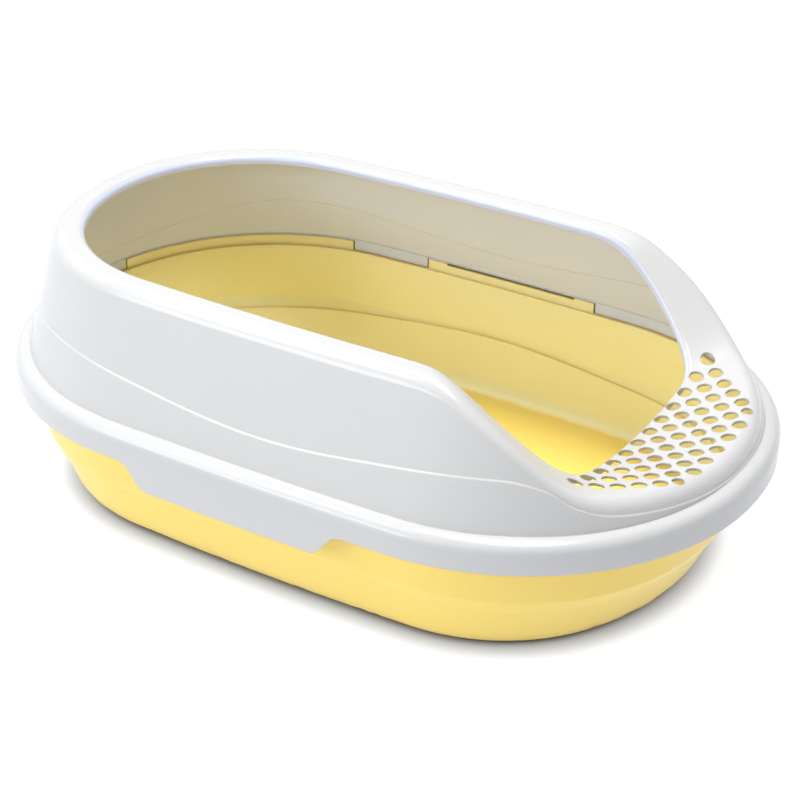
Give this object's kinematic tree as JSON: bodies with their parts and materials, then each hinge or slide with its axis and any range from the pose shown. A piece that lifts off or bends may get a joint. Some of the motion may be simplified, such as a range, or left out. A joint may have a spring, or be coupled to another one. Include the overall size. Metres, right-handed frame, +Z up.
{
  "type": "litter tray",
  "caption": "Oval open litter tray: a deep flared pan and a lift-off splash rim with a rolled lip, a lowered entry and a perforated entry step.",
  "frame": {"origin": "centre of the bounding box's bottom face, on the floor", "axes": "+X towards the low entry, +Y to the left side seen from the back, +Z up"},
  "size_m": [0.5596, 0.3604, 0.181],
  "materials": {
    "pan": "satin pale yellow polypropylene",
    "rim": "gloss white polypropylene"
  },
  "bodies": {
    "pan": {"pan": "pan"},
    "rim": {"rim": "rim"}
  },
  "joints": [
    {"name": "rim_lift", "type": "slide", "parent": "pan", "child": "rim", "axis": [0, 0, 1], "range_m": [0, 0.12]}
  ]
}
